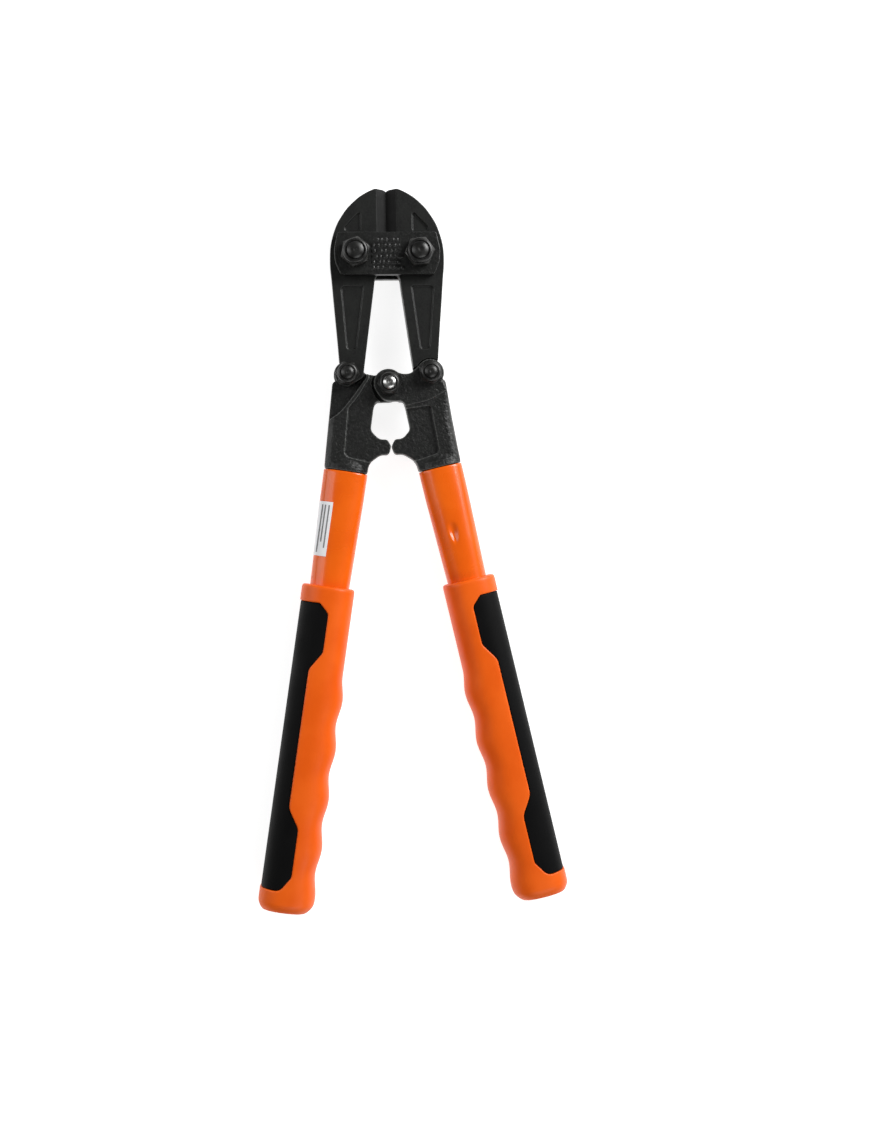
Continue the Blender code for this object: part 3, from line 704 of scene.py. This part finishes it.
def make_forging(word, side, eye_bore):
    lean = side * REST_SWAY

    def layer(outline, low, high):
        return flat_mesh([sway(point, lean) for point in outline], low, high)

    saddle = smoothed([(12.6, 3.05), (9.6, 0.25), (7.4, -0.38), (5.2, -0.25), (3.85, 0.21)])[6:-6]
    ridge = smoothed([(6.7, -14.1), (8.6, -13.6), (14.3, -12.4), (18.3, -10.9), (24.4, -7.4)])
    arm = (arc(TOGGLE, 5.75, -32, 148, 40) + saddle + arc((-0.3, -4.4), 6.2, 48, 200, 40)
           + arc((0.4, -5.5), 6.2, 215, 270, 16) + [(4.9, -11.7), (6.0, -12.6)] + ridge)
    shank = rounded([
        (9.4, -0.5, 0), (13.0, -1.2, 0), (22.6, -2.6, 0), (23.9, -3.4, 2), (29.0, -38.5, 1.0),
        (11.0, -41.95, 0.8), (10.0, -37.5, 6), (4.6, -34.0, 5), (1.2, -34.4, 1.8), (0.1, -30.6, 2),
        (1.6, -27.8, 1.6), (5.0, -27.7, 4), (8.4, -23.8, 3), (6.9, -15.2, 4), (6.0, -11.9, 1.2),
        (0.6, -11.7, 0), (0.6, -0.6, 0), (7.4, -0.6, 0),
    ])
    horn = [(9.65, -0.2), *arc((0.95, -4.9), 6.9, 38, 88, 18), (1.19, -3.0), (9.65, -3.0)]
    tail = smoothed([
        (9.75, -1.9), (11.9, -4.7), (14.4, -8.3), (17.3, -11.9), (20.2, -15.1), (23.1, -17.4),
        (27.0, -19.6),
    ])
    jaw_space = [(9.75, 6.0), *tail, (34, -10), (34, 10)]
    recess = arc((-0.4, -5.5), 7.5, 240, 360, 30) + arc(CENTRE, 7.5, 0, 120, 30) + [(-9, 1.4), (-9, -12.2)]
    front_web = rounded([
        (-4, -16.6, 0), (17.4, -13.9, 1.2), (20.1, -34.2, 2), (11.0, -36.9, 2.5), (-4, -38.5, 0),
    ])
    back_web = rounded([
        (-4, 6, 0), (8.5, 6, 0), (8.5, -2.4, 0), (13.3, -9.6, 0), (17.4, -14.3, 1.2), (20.1, -34.2, 2),
        (11.0, -36.9, 2.5), (-4, -38.5, 0),
    ])
    # The collar and tang are made on the handle, which on_handle turns over for the left side.
    collar = on_handle(oval_mesh(COLLAR_STATIONS), side)
    tang = on_handle(oval_mesh(TANG_STATIONS), side)
    base = layer(shank, -RIB_HALF, RIB_HALF)
    steps = [
        step("DIFFERENCE", turned_over(outer_waste(lean, 1), side)),
        step("DIFFERENCE", turned_over(outer_waste(lean, -1), side)),
        step("UNION", turned_over(layer(arm, LAP, ARM_TOP), side)),
        step("UNION", turned_over(layer(horn, 0.2 - RIB_HALF, -LAP - 0.05), side)),
        step("UNION", collar),
        step("UNION", tang),
        step("DIFFERENCE", turned_over(layer(recess, -THROUGH, LAP), side)),
        step("DIFFERENCE", turned_over(layer(jaw_space, -THROUGH, LAP), side)),
        step("DIFFERENCE", turned_over(layer(front_web, WEB_HALF, THROUGH), side)),
        step("DIFFERENCE", turned_over(layer(back_web, -THROUGH, -WEB_HALF), side)),
        step("DIFFERENCE", turned_over(bore_waste(TOGGLE, SMALL), side)),
        step("DIFFERENCE", turned_over(cylinder_mesh(CENTRE, eye_bore, -THROUGH, THROUGH), side)),
    ]
    shape = softened(evaluated(turned_over(base, side), steps), 0.22, 4, 0.35)
    piece(f"handle_head_{word}_forged", shape, FORGED, f"handle_{word}", "forged", f"handle_head_{word}")


# ---------------------------------------------------------------- tubes, label and grips

def tube_size(along):
    """Half width and half thickness of the tube, eased between its stations."""
    for first, second in zip(TUBE_STATIONS, TUBE_STATIONS[1:]):
        if along <= second[0]:
            share = min(1.0, max(0.0, (along - first[0]) / (second[0] - first[0])))
            return [first[i] + share * (second[i] - first[i]) for i in (1, 2)]
    return TUBE_STATIONS[-1][1:]


def tube_ring(along, shrink, sides=96):
    width, thick = tube_size(along)
    return oval_ring(along, width - shrink, width - shrink, thick - shrink, TUBE_SQUARENESS, sides)


def make_tube(word, side):
    """A hollow tube: rings along its outside, round its rim and back along its inside."""
    close = [0.55 + 0.75 * index for index in range(80)]
    sparse = [60.5 + 9.9 * index for index in range(12)]
    inside = (TUBE_END - 0.2, 120, 60, 52, 32, 12, TUBE_START + 0.25)
    rings = [tube_ring(TUBE_START, 0.35), tube_ring(TUBE_START + 0.08, 0.12)]
    rings += [tube_ring(along, 0) for along in (*close, *sparse, TUBE_END - 0.3)]
    rings += [tube_ring(TUBE_END, 0.3), tube_ring(TUBE_END, TUBE_WALL - 0.2)]
    rings += [tube_ring(along, TUBE_WALL) for along in inside]
    rings += [tube_ring(TUBE_START + 0.02, TUBE_WALL - 0.2)]
    if side > 0:
        for ring in rings[2:60]:
            for index, (x, y, z) in enumerate(ring):
                if z > 2:
                    ring[index] = (x, y, z - dimple(-y - DIMPLE_ALONG, x - DIMPLE_ACROSS))
    shape = on_handle(loft_mesh(rings, closed=True), side)
    piece(f"tube_{word}_enamelled", shape, ENAMEL, f"handle_{word}", "enamel", f"tube_{word}",
          sharp=50, wear_and_highlight=False)


def dimple(along, across):
    """Depth of the teardrop crimp that holds the tube on its tang."""
    half_width = DIMPLE_WIDTH - 0.16 * along
    reach = (along / DIMPLE_REACH) ** 2 + (across / half_width) ** 2
    return DIMPLE_DEPTH * max(0.0, 1 - reach) ** 1.3


def skin_patch(start, end, edge, low, high, side, columns=28, rows=14):
    """A thin sheet laid on the tube's outer side, from edge on the front round to the back."""
    squareness = TUBE_SQUARENESS
    form = bmesh.new()
    sheets = []
    for lift in (high, low):
        sheet = []
        for row in range(rows + 1):
            along = start + (end - start) * row / rows
            width, thick = (value + lift for value in tube_size(along))
            limit = math.acos(min(1.0, (edge / width) ** (squareness / 2)))
            line = []
            for column in range(columns + 1):
                angle = limit * (1 - 2 * column / columns)
                across = width * abs(math.cos(angle)) ** (2 / squareness)
                up = math.copysign(thick * abs(math.sin(angle)) ** (2 / squareness), math.sin(angle))
                line.append(form.verts.new((across, -along, up)))
            sheet.append(line)
        sheets.append(sheet)
    top, under = sheets
    for row in range(rows):
        for column in range(columns):
            for sheet in sheets:
                first, second = sheet[row][column:column + 2], sheet[row + 1][column:column + 2]
                form.faces.new((*first, *reversed(second)))
    border = [(0, c) for c in range(columns)] + [(r, columns) for r in range(rows)]
    border += [(rows, c) for c in range(columns, 0, -1)] + [(r, 0) for r in range(rows, 0, -1)]
    for (r0, c0), (r1, c1) in zip(border, border[1:] + border[:1]):
        form.faces.new((top[r0][c0], top[r1][c1], under[r1][c1], under[r0][c0]))
    return on_handle(new_mesh(form), side)


def make_label():
    """The sticker, with three plain grey lines in place of its print."""
    shape = skin_patch(LABEL_START, LABEL_END, LABEL_EDGE, 0.03, 0.16, -1)
    piece("label_sticker", shape, LABEL, "handle_left", "label", "label", sharp=40, wear_and_highlight=False)
    for index, (end, edge) in enumerate(LABEL_LINES):
        mesh = skin_patch(LINE_START, end, edge, 0.14, 0.19, -1)
        outer = edge + LINE_WIDTH
        cut = flat_mesh([(outer, 0), (15, 0), (15, -60), (outer, -60)], -15, 15)
        behind = flat_mesh([(-15, 0), (15, 0), (15, -60), (-15, -60)], -15, 0.3)
        steps = [step("DIFFERENCE", on_handle(cut, -1)), step("DIFFERENCE", turned_back(behind))]
        piece(f"label_line_{index + 1}", evaluated(mesh, steps), INK, "handle_left", "label",
              sharp=40, wear_and_highlight=False)


def turned_back(mesh):
    """On the left handle, turning over puts the back in front, so cut the other face."""
    mesh.transform(Matrix.Scale(-1, 4, (0, 0, 1)))
    mesh.flip_normals()
    return on_handle(mesh, -1)


def grip_stops():
    stops = [GRIP_START, GRIP_START + 0.25, GRIP_START + 0.7, GRIP_START + 1.4, GRIP_START + 2.4]
    while stops[-1] < GRIP_END - 5:
        stops.append(stops[-1] + GRIP_STEP)
    return stops + [GRIP_END - share for share in (3.2, 2.4, 1.7, 1.1, 0.6, 0.25, 0)]


def grip_mesh(side, shrink=0.0, overrun=0.0):
    """The grip's outside, smaller by shrink all round and longer by overrun at both ends."""
    rings = []
    for along in grip_stops():
        wave = 0.0
        if along > FINGER_FIRST:
            wave = FINGER_RISE * (1 - math.cos(math.tau * (along - FINGER_FIRST) / FINGER_PITCH)) / 2
        near_end = max(0.0, 1.0 - (GRIP_END - along) / END_ROUND)
        near_top = max(0.0, 1.0 - (along - GRIP_START) / TOP_ROUND)
        pull = END_PULL * near_end ** 2 + TOP_PULL * (1 - math.sqrt(1 - near_top ** 2))
        reach = {GRIP_START: -overrun, GRIP_END: overrun}.get(along, 0.0)
        rings.append(oval_ring(along + reach, GRIP_IN + wave - pull - shrink, GRIP_OUT - pull - shrink,
                               GRIP_HALF - pull - shrink, GRIP_SQUARENESS, 96))
    return on_handle(loft_mesh(rings), side)


def pad_prism(side, inset):
    """What stands over and under the pad's outline, the outline drawn in by inset."""
    middle, half = (PAD_START + PAD_FOOT) / 2, (PAD_FOOT - PAD_START) / 2
    corners = []
    for x, y, radius in PAD_OUTLINE:
        along = -middle - (y - middle) * (half - inset) / half
        corners.append((x if x == PAD_BEYOND else x + inset, along, radius))
    return on_handle(flat_mesh(rounded(corners), -16, 16), side)


def make_grip(word, side):
    stops = (GRIP_START - 3, 52, 60, SOCKET_END)
    socket = on_handle(loft_mesh([tube_ring(along, -SOCKET_GAP) for along in stops]), side)
    pocket = evaluated(pad_prism(side, 0), [step("DIFFERENCE", grip_mesh(side, PAD_DEPTH, 5))])
    cuts = [step("DIFFERENCE", socket), step("DIFFERENCE", pocket)]
    shape = softened(evaluated(grip_mesh(side), cuts), 0.36, 2, 0.3)
    piece(f"grip_{word}_moulded", shape, VINYL, f"handle_{word}", "vinyl", f"grip_{word}", wear_and_highlight=False)
    trims = [step("INTERSECT", pad_prism(side, PAD_GAP)),
             step("DIFFERENCE", grip_mesh(side, PAD_DEPTH - 0.3, 5))]
    pad = softened(evaluated(grip_mesh(side, PAD_SUNK), trims), 0.3, 2, 0.3)
    piece(f"grip_pad_{word}_moulded", pad, RUBBER, f"handle_{word}", "pad", f"grip_pad_{word}", wear_and_highlight=False)


# ---------------------------------------------------------------- the tool

make_plate("front", PLATE_IN, PLATE_OUT)
make_plate("back", -PLATE_OUT, -PLATE_IN)
for word, side in (("left", -1), ("right", 1)):
    jaw_at, toggle_at = (side * JAW_PIVOT[0], JAW_PIVOT[1]), (side * TOGGLE[0], TOGGLE[1])
    handle = f"handle_{word}"
    make_bolt(f"jaw_bolt_{word}", "head", jaw_at, BIG, -JAW_SEAT, JAW_BOLT_TOP, FASTENER, "fastener")
    make_nut(f"jaw_nut_{word}", "head", jaw_at, BIG, JAW_SEAT, -17 - 7 * side)
    make_jaw(word, side)
    front, back = (EYE_SEAT, -RIB_SEAT) if side > 0 else (RIB_SEAT, -EYE_SEAT)
    make_bolt(f"toggle_bolt_{word}", handle, toggle_at, SMALL, back, front + TOGGLE_BOLT_RISE,
              FASTENER, "fastener")
    make_nut(f"toggle_nut_{word}", handle, toggle_at, SMALL, front, 10 if side > 0 else 25)
    make_forging(word, side, SMALL["shank"] + BORE_GAP if side > 0 else LOOSE_BORE)
    make_tube(word, side)
    make_grip(word, side)
make_bolt("centre_bolt", "handle_right", CENTRE, SMALL, -6.8, 11.2, BRIGHT, "bright")
make_nut("centre_nut", "handle_right", CENTRE, SMALL, EYE_SEAT, 30)
washer = [(3.0, -5.35), (6.45, -5.35), (6.6, -5.5), (6.6, -6.35), (6.45, -6.5), (3.0, -6.5), (3.0, -5.35)]
piece("centre_washer_turned", turned_mesh(CENTRE, washer), FASTENER, "handle_right", "fastener",
      "centre_washer", sharp=40, wear_and_highlight=False)
make_label()


# ---------------------------------------------------------------- floor, light and camera

def make_floor():
    form = bmesh.new()
    bmesh.ops.create_grid(form, x_segments=8, y_segments=8, size=4.0)
    mesh = bpy.data.meshes.new("floor")
    form.to_mesh(mesh)
    form.free()
    mesh.materials.append(floor_pale())
    floor = bpy.data.objects.new("floor", mesh)
    floor.location.z = -0.0002
    bpy.context.scene.collection.objects.link(floor)


def aimed(item, at, target, roll=0.0):
    way = Vector(target) - Vector(at)
    turn = way.to_track_quat("-Z", "Y").to_matrix() @ Matrix.Rotation(roll, 3, "Z")
    item.matrix_world = Matrix.Translation(at) @ turn.to_4x4()


def area_light(name, at, size, power, target=(0, 0.02, 0.01)):
    light = bpy.data.lights.new(name, "AREA")
    light.shape = "RECTANGLE"
    light.size, light.size_y = size
    light.energy = power
    lamp = bpy.data.objects.new(name, light)
    bpy.context.scene.collection.objects.link(lamp)
    aimed(lamp, at, target)


make_floor()
area_light("key", (0.62, 0.52, 0.48), (0.5, 0.4), 10.0)
area_light("fill", (-0.70, 0.20, 0.50), (0.4, 0.8), 2.8)
area_light("front", (0.35, -0.75, 0.70), (0.9, 0.4), 3.6)

world = bpy.data.worlds.new("studio")
bpy.context.scene.world = world
world.use_nodes = True
background = world.node_tree.nodes["Background"]
background.inputs["Color"].default_value = rgb(1, 1, 1)
background.inputs["Strength"].default_value = 0.10
bpy.context.scene.view_settings.view_transform = "Standard"

STAND = DATUM + Vector((-24.97, -80.53, 680.0)) * MM  # where the lens stands
AIM = DATUM + Vector((18.37, -81.46, 0.0)) * MM
ROLL = math.radians(0.95)
camera_data = bpy.data.cameras.new("camera")
camera_data.lens = 51.0
camera_data.sensor_width = 36.0
camera_data.clip_start, camera_data.clip_end = 0.01, 20.0
camera = bpy.data.objects.new("camera", camera_data)
bpy.context.scene.collection.objects.link(camera)
look = (AIM - STAND).normalized()
right = look.cross(Vector((math.sin(ROLL), math.cos(ROLL), 0))).normalized()
up = right.cross(look)
camera.matrix_world = Matrix.Translation(STAND) @ Matrix((right, up, -look)).transposed().to_4x4()
bpy.context.scene.camera = camera
